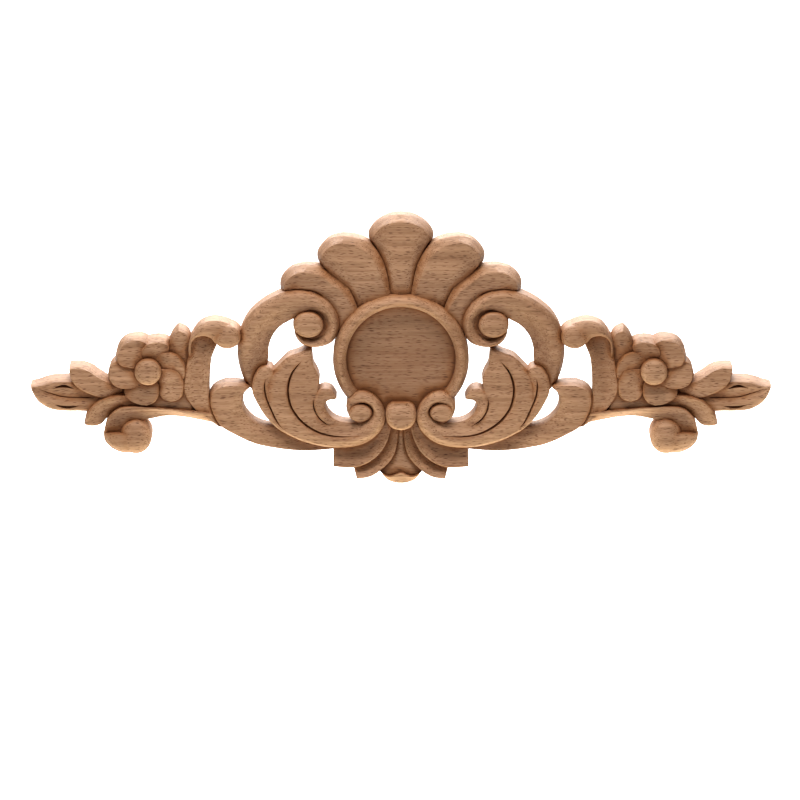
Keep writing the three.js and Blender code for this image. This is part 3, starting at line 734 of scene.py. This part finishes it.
# %% The swept band
def lower_band():
    """One leaf from behind the palmette out to the paddle's top."""
    return [
        leaf(
            near=through(
                (29, -50.5), (46, -52), (58, -51.8), (70, -50), (80, -47.4), (90, -42.4), (98, -37),
                (102.8, -28), (103.6, -20), (100.5, -15.6), (95, -13.2),
            ),
            far=through(
                (29, -44), (46, -43), (58, -40.5), (68, -38.2), (75, -36.6), (80, -34), (84, -29.6),
                (85.4, -25), (84.6, -19), (81.5, -15.5), (87, -13.4), (95, -13.2),
            ),
            relief=[[9, 8, 8], [10, 9, 8], [12, 12, 10], [14, 14, 13], [14, 14, 14]],
            soft=([0.6, 0.6, 0.8, 1, 1.4], [0.6, 0.6, 0.6, 0.8, 1.4]),
            edges=(BEVELLED, BEVELLED),
        ),
    ]


swept_band = counted("lower band", lower_band())

# %% [markdown]
# ## The crook
#
# The wing starts with a fluted stem that climbs beside the flower and rolls over, like a fern, to a bulb that
# touches the great scroll. A small bud fills the corner between it and the flower.

# %% Stem, roll, bulb and bud
def crook():
    """The stem is hollow along its middle, and the roll is crowned, with the bulb as a boss on its end."""
    return [
        leaf(
            near=through((99.6, -37), (105, -33), (112, -27), (117, -18), (116.5, -8), (114.2, 4), (112, 15)),
            far=through((97, -38), (101.5, -31), (103.4, -22), (103.3, -10), (102, 1), (99, 9), (99, 15)),
            relief=[[12, 12, 12], [13, 12, 13], [13.5, 11.5, 13.5], [12, 10.5, 12.5]],
            soft=(0.8, 1),
        ),
        leaf(
            near=through(
                (114.5, 2), (114.4, 9), (112, 14.6), (107.5, 19.8), (101, 21.8), (94.5, 20.8), (89.5, 17.8),
                (87.6, 13),
            ),
            far=through(
                (113, 2), (112.6, 9), (110.5, 12.3), (106.5, 13.5), (102.3, 12.2), (99.6, 9.2), (95, 9.5),
                (87.6, 13),
            ),
            relief=[[14, 14, 14], [15.5, 16.5, 15], [16.5, 17.2, 15], [16.5, 17.5, 15]],
            soft=([1, 1.6, 3, 3.4, 3.4], [0.6, 0.8, 1.4, 1.6]),
            edges=(ROUNDED, ROUNDED),
        ),
        boss(out=93.4, up=13.1, radius_out=7.4, radius_up=6.6, foot=13, crown=18.3),
        leaf(
            near=through((124, -8), (126, 1), (125.6, 8), (123.2, 14), (119.8, 17.8)),
            far=through((112.5, -8), (113, 5), (113.2, 11), (115.2, 15.4), (119.8, 17.8)),
            relief=[[10, 11, 10], [12, 13, 12], [14, 14.2, 14]],
            soft=([0.6, 0.8, 1.5], [0.5, 0.6, 1.5]),
            edges=(BEVELLED, BEVELLED),
        ),
    ]


rolled_stem = counted("crook and bud", crook())

# %% [markdown]
# ## The flower
#
# Six petals turn round a button like a pinwheel: each is high on one side and lies over the next. They were
# cut by eye, so no two have the same outline, and each is drawn by its own two edges: the high one first.
# Three sizes follow: how wide the bevel is at the high edge's end, how wide it is elsewhere, and how high the
# face is at its low edge. The rest of their levels is the same, so one table of heights serves them all.

# %% Petals and button
FLOWER_CENTRE = (136.3, -6)
PETALS = [
    (
        [(138, -5), (143.3, -4.7), (149.9, -3.7), (152.9, -1.6), (153.9, 1.6), (153.2, 5.2)],
        [(133, 1), (134, 8), (138.4, 12), (143.3, 12.4), (147.8, 11.4), (151.2, 8.8), (153.2, 5.2)],
        (0.8, 1.8, 13.6),
    ),
    (
        [(137, -2), (139.8, 3), (139.4, 7), (138.2, 9.3), (135.4, 11.1), (131.2, 11.8)],
        [(130, -2), (125.4, 2), (123.5, 5), (123.3, 8.2), (126.3, 10.9), (131.2, 11.8)],
        (1.8, 1.8, 13.6),
    ),
    (
        [(133, 1), (129.4, 3.5), (125, 4.4), (120.6, 3), (117.2, -0.2), (115.4, -4.3), (115.2, -8),
         (116.2, -11)],
        [(131, -8), (127, -9), (122, -11), (119, -12.5), (116.2, -11)],
        (1.3, 1.2, 12.4),
    ),
    (
        [(131, -5), (125, -4.9), (120.8, -5.7), (118.8, -7.6), (117.1, -11.2), (116.7, -15), (117.6, -20),
         (120.7, -22.8), (124.6, -23.5)],
        [(134, -10), (131.4, -13), (131, -18), (128.8, -22), (124.6, -23.5)],
        (1.1, 0.7, 12.6),
    ),
    (
        [(134, -9), (131.3, -12.5), (130.5, -16), (130.9, -20), (133, -23.6), (137.5, -25.6)],
        [(141, -8), (148, -13), (149.6, -17), (149.3, -20.1), (146.8, -22.8), (142, -25.1), (137.5, -25.6)],
        (0.5, 0.6, 12.6),
    ),
    (
        [(136.5, -10.5), (139, -13.2), (141.6, -14.3), (145.7, -15.9), (150.9, -16.3), (155.3, -14.5),
         (157.4, -11.3), (158, -7.8)],
        [(138, -3), (146, 0), (152.8, 0), (156.8, -3.3), (158, -7.8)],
        (1, 0.7, 12.6),
    ),
]


def flower():
    """The petals, the low ground between them, and the button."""
    petals = [
        leaf(
            near=through(*high_edge),
            far=through(*low_edge),
            relief=[
                [13, 13, 12, low - 1], [14.6, 14.4, 13.4, low], [14.8, 14.6, 14, low + 1],
                [14.4, 14.4, 14.2, 14],
            ],
            soft=([0.4, 0.4, high_rim, rim], [0.4, rim, rim, rim]),
            edges=(BEVELLED, BEVELLED),
        )
        for high_edge, low_edge, (high_rim, rim, low) in PETALS
    ]
    out, up = FLOWER_CENTRE
    return [
        *petals,
        boss(out=out, up=up - 1, radius_out=16, foot=BED + 4, crown=BED + 4),
        boss(out=out, up=up, radius_out=7.2, foot=15.6, crown=20, fullness=2.6),
    ]


blossom = counted("flower", flower())

# %% [markdown]
# ## Under the flower
#
# The wing's lower side is an arched band with a cove under it, which ends in a comma-shaped volute. The
# flower sits on a calyx leaf, and a low bed ties the crook, the flower and the tip together behind.

# %% Arch, volute, calyx and bed
def wing_arch():
    """The arch falls from its near edge into the cove, which ends where the comma's tail starts."""
    return [
        leaf(
            near=through(
                (103, -29.6), (115, -28.2), (131, -26.7), (145, -26), (153, -27.4), (158.8, -33),
                (160.9, -41.5),
            ),
            far=through(
                (98, -37.3), (107, -35), (118, -32.9), (127, -32.3), (136, -33.6), (145.5, -34.6),
                (149.4, -37.6), (150, -41.5),
            ),
            relief=[
                [13, 11, 8], [14, 12, 9], [14, 11.5, 9], [14.5, 12, 10], [14.5, 12.5, 11.5], [14, 12, 11.5],
            ],
            soft=(1, 0.5),
        ),
        leaf(
            near=through((160.9, -40.5), (160.3, -45), (157, -49.2), (151.5, -52), (145, -52.6)),
            far=through((148, -40.5), (146, -43), (144.5, -46), (143.5, -49), (145, -52.6)),
            relief=[[14.5, 16, 16.5], [14, 16, 17], [13.5, 15, 16], [13, 13, 13]],
            soft=(2.4, 0.5),
        ),
        boss(out=143.5, up=-43, radius_out=8.7, radius_up=9.5, foot=11.5, crown=17.6, fullness=2.2),
        leaf(
            near=through((157, -21), (151, -26), (137, -27), (122, -28.4), (112, -30.4)),
            far=through((119, -12), (116.5, -19), (113.5, -25), (112, -30.4)),
            relief=[[11.2, 11.2, 11.2]],
        ),
        leaf(
            near=through((108, -5), (118, -8), (135, -6), (152, -10), (168, -15)),
            far=through((108, -31), (118, -29), (135, -27.5), (150, -28), (168, -26)),
            relief=[[BED - 1]],
        ),
    ]


arch_and_bed = counted("arch, volute and bed", wing_arch())

# %% [markdown]
# ## The wing's end
#
# A long pointed leaf ends the wing, with one leaf over its root and one under it. Its face has a vein down
# the middle and a slit on each side, which are cut with the V tool in the next cell.

# %% Three leaves
def wing_tip():
    """The long leaf is slightly sunk along its middle. The other two spring from under the flower."""
    return [
        leaf(
            near=through(
                (160, -11.2), (178.4, -10.7), (186.8, -11), (191.6, -12), (195.6, -13.4), (200, -14.4)
            ),
            far=through(
                (160, -30), (172, -28.9), (181, -28.7), (189, -27.6), (195.5, -23.6), (198.8, -18.4),
                (200, -14.4),
            ),
            relief=[[12, 12, 11, 12, 12], [13, 13.5, 12.5, 13.5, 13], [13.5, 14, 13.5, 14, 13.5]],
            soft=([1, 1.5, 1.6, 1], 1.2),
            edges=(BEVELLED, ROLLED),
        ),
        leaf(
            near=through(
                (144, -9), (156, -11.6), (162.5, -8.6), (167, -5.4), (171, -3.9), (175, -3.4), (178.8, -3.8)
            ),
            far=through(
                (144, -20), (159, -21.6), (170, -18), (175, -14.6), (177.6, -11), (178.6, -7), (178.8, -3.8)
            ),
            relief=[[6, 8, 6], [12.5, 13.5, 12.5], [13.5, 14, 14.5], [13.5, 14, 14.5]],
            soft=([0.8, 1.2, 1.5, 1], 0.7),
            edges=(BEVELLED, ROLLED),
        ),
        leaf(
            near=through((144, -18), (155, -19.7), (162, -21.6), (167, -25.2), (170, -29.5), (171.6, -36.3)),
            far=through(
                (141, -24), (152, -28.5), (158.5, -32.6), (162, -36.2), (166.5, -37.3), (171.6, -36.3)
            ),
            relief=[[12, 11, 9], [14.5, 12.5, 9.5], [15, 12.5, 10], [15, 13, 11.5], [14.5, 13.5, 13]],
            soft=(1.2, 0.8),
            edges=(BEVELLED, ROLLED),
        ),
    ]


end_leaves = counted("the wing's end", wing_tip())

# %% The V cuts that part the leaves and vein the tips
def cuts():
    """The rolled bank is on the side of the leaf that dips under its neighbour."""
    return [
        vein_cut(
            path=through((71.6, -6.8), (73.4, -13), (72.8, -20), (70, -27.5), (66, -35.5), (60, -41.5)),
            banks=(3, 0.6), floors=[12.9, 12.5, 13.2], rim=15.8,
        ),
        vein_cut(
            path=through(
                (48.9, 3.6), (54, -1), (58.4, -7), (60.6, -14), (60.4, -21), (58, -28), (52, -35.2),
                (43, -40.4), (33, -42.2), (21, -41.6),
            ),
            banks=(4, 0.7), floors=[12.8, 12.4, 12.5, 13, 13.6], rim=16.5,
        ),
        vein_cut(
            path=through((45.2, -18), (47.1, -22), (46.8, -27.5), (43.5, -33), (37, -37.4), (31, -38.6)),
            banks=(0.6, 2.6), floors=[13, 12.8, 13.4], rim=16.3,
        ),
        vein_cut(
            path=through(
                (200.2, -14), (192.8, -17.3), (188, -19), (183.4, -20.4), (177.6, -21), (168.8, -21.2),
                (160, -21),
            ),
            banks=(2.6, 0.6), floors=[12.5, 11.4, 11, 10], rim=14.6, ends=(0.2, 0.05),
        ),
        vein_cut(
            path=through((188.4, -15.9), (182, -14.7), (175, -16.6)),
            banks=(0.9, 1.3), floors=[7], rim=14, ends=(0.5, 0.5),
        ),
        vein_cut(
            path=through((188, -24.6), (180.8, -26.4), (172.4, -25.7)),
            banks=(1.3, 0.9), floors=[7], rim=14, ends=(0.5, 0.5),
        ),
    ]


v_cuts = counted("V cuts", cuts())

# %% [markdown]
# ## One body
#
# The leaves overlap, so they are joined, the cuts taken away and the inner walls dropped. A voxel remesh
# would melt the crisp lines between leaves. Boolean modifiers keep them: each helper is one operand, and
# the finished surface is read back as a plain mesh, so no modifier or helper is left.
#
# One side is joined and cut first. Its mirror image is worked out in numpy, which is exact and keeps the
# triangles facing out, and the middle pieces go on last.

# %% Join and cut
def as_object(name, solid):
    """A mesh object at the origin, in metres, from a solid in millimetres."""
    corners, triangles = solid
    mesh = bpy.data.meshes.new(name)
    mesh.from_pydata((corners / 1000).tolist(), [], triangles.tolist())
    made = bpy.data.objects.new(name, mesh)
    bpy.context.scene.collection.objects.link(made)
    return made


def read_back(items, what, width, kind=float):
    """One row of numbers for each of a mesh's corners, edges or triangles."""
    numbers = np.empty(len(items) * width, dtype=kind)
    items.foreach_get(what, numbers)
    return numbers.reshape(-1, width)


def combined(name, first, rest, operation="UNION"):
    """The first solid with the rest joined to it or cut from it, one Boolean modifier each."""
    body = as_object(name, first)
    helpers = [as_object(f"{name}_{k}", solid) for k, solid in enumerate(rest)]
    for helper in helpers:
        step = body.modifiers.new(helper.name, "BOOLEAN")
        step.operation, step.solver, step.object = operation, "MANIFOLD", helper
    done = body.evaluated_get(bpy.context.evaluated_depsgraph_get()).to_mesh()
    done.calc_loop_triangles()
    corners = read_back(done.vertices, "co", 3) * 1000
    triangles = read_back(done.loop_triangles, "vertices", 3, np.int32)
    for made in [body, *helpers]:
        bpy.data.meshes.remove(made.data)
    return corners, triangles


side_solids = [
    *side_lobes, *great_coil, *small_coil, *inner_leaves, *folded_petals, *swept_band, *rolled_stem,
    *blossom, *arch_and_bed, *end_leaves,
]
one_side = combined("side", side_solids[0], side_solids[1:])
one_side = combined("side_cut", one_side, v_cuts, "DIFFERENCE")
middle = [*centre_lobe, *rosette, *tongue]
whole = combined("whole", one_side, [mirrored(one_side), *middle])
print("one body:", len(whole[0]), "corners,", len(whole[1]), "triangles")

# %% [markdown]
# ## The finished carving
#
# The body stays inside the board it is cut from, so its corners are held to the board's box. Faces are
# smooth, and edges that turn by more than the sharp angle stay sharp, which keeps the gouge lines crisp in
# the light.

# %% The carving as one piece
SHARP_ANGLE = math.radians(26)

corners, triangles = whole
corners = np.clip(corners / 1000, low_corner, high_corner)
carving_mesh = bpy.data.meshes.new("carving")
carving_mesh.from_pydata(corners.tolist(), [], triangles.tolist())
carving_mesh.validate()
carving_mesh.shade_smooth()
carving_mesh.set_sharp_from_angle(angle=SHARP_ANGLE)
carving = bpy.data.objects.new("carving", carving_mesh)
bpy.context.scene.collection.objects.link(carving)
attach(carving, "root")
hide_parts("carved_applique")
print("carving, in mm:", np.round((corners.max(0) - corners.min(0)) * 1000, 1))

# %% [markdown]
# ## How deep each place lies in a crease
#
# Where two leaves meet, the wood is painted a darker brown: painted shade, laid over the real shadow there.
# To find those places, each corner is compared with its neighbours: in a crease they stand further out along
# its normal than it does, and on an edge less far. The result is evened out over the neighbours a few times
# and kept with the mesh as an attribute that the wood reads for its painted shade.

# %% The crease attribute
CREASE_SPREADS = (2, 14)
CREASE_FULL = (0.2, 0.06)
CREASE_START = 0.02
WIDE_SHARE = 0.5
LONGEST_COUNTED = 1e-3


def evened_out(values, ends, length):
    """Each value plus half its difference to its neighbours' mean: less along edges longer than SPACING."""
    reach = np.minimum((SPACING / 1000 / np.maximum(length, 1e-6)) ** 2, 1)
    difference = reach * (values[ends[:, 1]] - values[ends[:, 0]])
    pull = np.bincount(ends[:, 0], weights=difference, minlength=len(values))
    return values + pull / (2 * np.maximum(np.bincount(ends[:, 0], minlength=len(values)), 1))


def creases(mesh):
    """The mean of normal . (neighbour - corner) / distance, less a start, evened, between 0 and 1.

    It is evened twice, over a few edges and over many, and the larger of the two counts."""
    count = len(mesh.vertices)
    places = read_back(mesh.vertices, "co", 3)
    normals = read_back(mesh.vertices, "normal", 3)
    edges = read_back(mesh.edges, "vertices", 2, np.int32)
    ends = np.concatenate([edges, edges[:, ::-1]])
    line = places[ends[:, 1]] - places[ends[:, 0]]
    length = np.linalg.norm(line, axis=1)
    rise = (line * normals[ends[:, 0]]).sum(1) / np.maximum(length, 1e-7)
    weight = np.minimum(length, LONGEST_COUNTED)
    hollow = np.bincount(ends[:, 0], weights=rise * weight, minlength=count)
    hollow /= np.maximum(np.bincount(ends[:, 0], weights=weight, minlength=count), 1e-9)
    hollow = (evened_out(hollow, ends, length) - CREASE_START).clip(0)
    kept = []
    for spread, full in zip(CREASE_SPREADS, CREASE_FULL):
        value = hollow
        for _ in range(spread):
            value = evened_out(value, ends, length)
        kept.append((value / full).clip(0, 1))
    return np.maximum(kept[0], kept[1] * WIDE_SHARE)


# The attribute tells the wood where to paint shade into its colour.
in_crease = carving_mesh.attributes.new("crease", "FLOAT", "POINT")
crease_values = creases(carving_mesh)
in_crease.data.foreach_set("value", crease_values)
print("corners in creases:", int((crease_values > 0.5).sum()), "of", len(crease_values))

# %% [markdown]
# ## The wood
#
# Rubberwood is pale and pinkish, with open pores that show as short dark dashes along the grain and as dots
# on the end grain. The grain runs along the board, so everything here reads Object coordinates, squeezed
# along X: the same pattern then comes out as dashes on a face, and as dots where the cut crosses the grain.

# %% The shader and helpers for nodes
wood = bpy.data.materials.new("bare_rubberwood")
wood.use_nodes = True
nodes, links = wood.node_tree.nodes, wood.node_tree.links
shader = nodes["Principled BSDF"]
SANDED_ROUGHNESS = 0.62
BARE_SHINE = 0.3
shader.inputs["Roughness"].default_value = SANDED_ROUGHNESS
shader.inputs["Specular IOR Level"].default_value = BARE_SHINE


def node(kind, **settings):
    """A new node: a name that is a setting of the node is set, and any other is one of its sockets."""
    made = nodes.new(kind)
    for name, value in settings.items():
        if hasattr(made, name):
            setattr(made, name, value)
        else:
            made.inputs[name.replace("_", " ")].default_value = value
    return made


def join(source, output, target, socket):
    """A link from one node's output to another's socket."""
    links.new(source.outputs[output], target.inputs[socket])


place = node("ShaderNodeTexCoord")


def stretched(x, y, z):
    """Object coordinates in metres times a number of cells a metre each way."""
    scale = node("ShaderNodeMapping")
    scale.inputs["Scale"].default_value = (x, y, z)
    join(place, "Object", scale, "Vector")
    return scale


def noise(mapping, scale, detail=2.0, roughness=0.5):
    """Smooth noise on stretched coordinates."""
    made = node("ShaderNodeTexNoise")
    made.inputs["Scale"].default_value = scale
    made.inputs["Detail"].default_value = detail
    made.inputs["Roughness"].default_value = roughness
    join(mapping, "Vector", made, "Vector")
    return made


def ramp(source, output, low, high, low_value=0.0, high_value=1.0):
    """The source between low and high, spread evenly from low_value to high_value, and held outside them."""
    made = node("ShaderNodeMapRange")
    for name, value in zip(("From Min", "From Max", "To Min", "To Max"), (low, high, low_value, high_value)):
        made.inputs[name].default_value = value
    join(source, output, made, "Value")
    return made


def blended(factor, factor_output, first, second):
    """A mix of two colours by a factor. Each colour is a tuple or a node with a colour."""
    made = node("ShaderNodeMix", data_type="RGBA")
    join(factor, factor_output, made, 0)
    for colour, socket in ((first, 6), (second, 7)):
        if isinstance(colour, tuple):
            made.inputs[socket].default_value = (*colour, 1)
        else:
            links.new(colour.outputs[2 if colour.bl_idname == "ShaderNodeMix" else 0], made.inputs[socket])
    return made


print("shader:", shader.name)

# %% Streaks and pores
PALE = (0.41, 0.238, 0.138)
ROSY = (0.255, 0.138, 0.074)
BROWN = (0.20, 0.095, 0.045)
PORE = (0.09, 0.036, 0.016)
STREAK_CELLS = (18, 560, 560)
CLOUD_CELLS = (12, 30, 30)
PORE_CELLS = (200, 1700, 1700)
STREAK_RAMP = (0.36, 0.62)
CLOUD_RAMP = (0.42, 0.68, 0, 0.45)
PORE_RAMP = (0.16, 0.36, 1, 0)
PORE_DEPTH_RAMP = (0, 0.6, 0.2, 1)

streaks = noise(stretched(*STREAK_CELLS), 1.0, 5.0, 0.7)
clouds = noise(stretched(*CLOUD_CELLS), 1.0, 2.0)
base = blended(ramp(streaks, "Fac", *STREAK_RAMP), "Result", ROSY, PALE)
warm = blended(ramp(clouds, "Fac", *CLOUD_RAMP), "Result", base, BROWN)

pores = node("ShaderNodeTexVoronoi", feature="F1", distance="EUCLIDEAN")
pores.inputs["Scale"].default_value = 1.0
join(stretched(*PORE_CELLS), "Vector", pores, "Vector")
pore_shape = ramp(pores, "Distance", *PORE_RAMP)
pore_draw = node("ShaderNodeSeparateColor")
join(pores, "Color", pore_draw, "Color")
pore_depth = ramp(pore_draw, "Red", *PORE_DEPTH_RAMP)
pore_amount = node("ShaderNodeMath", operation="MULTIPLY")
join(pore_shape, "Result", pore_amount, 0)
join(pore_depth, "Result", pore_amount, 1)
print("colours from pale to pore:", PALE, ROSY, BROWN, PORE)

# %% Painted shade in the creases, bump and the finished wood
# Painted shade: a wide brown round each crease and a darker brown deep in it.
WIDE_CREASE_SHADE = (0.26, 0.105, 0.034)
DEEP_CREASE_SHADE = (0.12, 0.042, 0.011)
WIDE_SHADE_RAMP = (0, 0.6, 0, 0.8)
DEEP_SHADE_RAMP = (0.4, 0.9, 0, 0.8)
GRAIN_BUMP = {"Strength": 0.35, "Distance": 0.0003}

# The crease attribute sets how much painted shade each place gets, first the wide brown and then the darker
# one.
crease_shade_amount = node("ShaderNodeAttribute", attribute_name="crease")
wide_shade_painted = blended(ramp(crease_shade_amount, "Fac", *WIDE_SHADE_RAMP), "Result", warm, WIDE_CREASE_SHADE)
deep_shade_painted = blended(ramp(crease_shade_amount, "Fac", *DEEP_SHADE_RAMP), "Result", wide_shade_painted, DEEP_CREASE_SHADE)
coloured = blended(pore_amount, "Value", deep_shade_painted, PORE)
links.new(coloured.outputs[2], shader.inputs["Base Color"])

bump = node("ShaderNodeBump")
for socket, value in GRAIN_BUMP.items():
    bump.inputs[socket].default_value = value
height = node("ShaderNodeMath", operation="SUBTRACT")
join(streaks, "Fac", height, 0)
join(pore_amount, "Value", height, 1)
join(height, "Value", bump, "Height")
join(bump, "Normal", shader, "Normal")
carving_mesh.materials.append(wood)
print("wood:", len(nodes), "nodes")
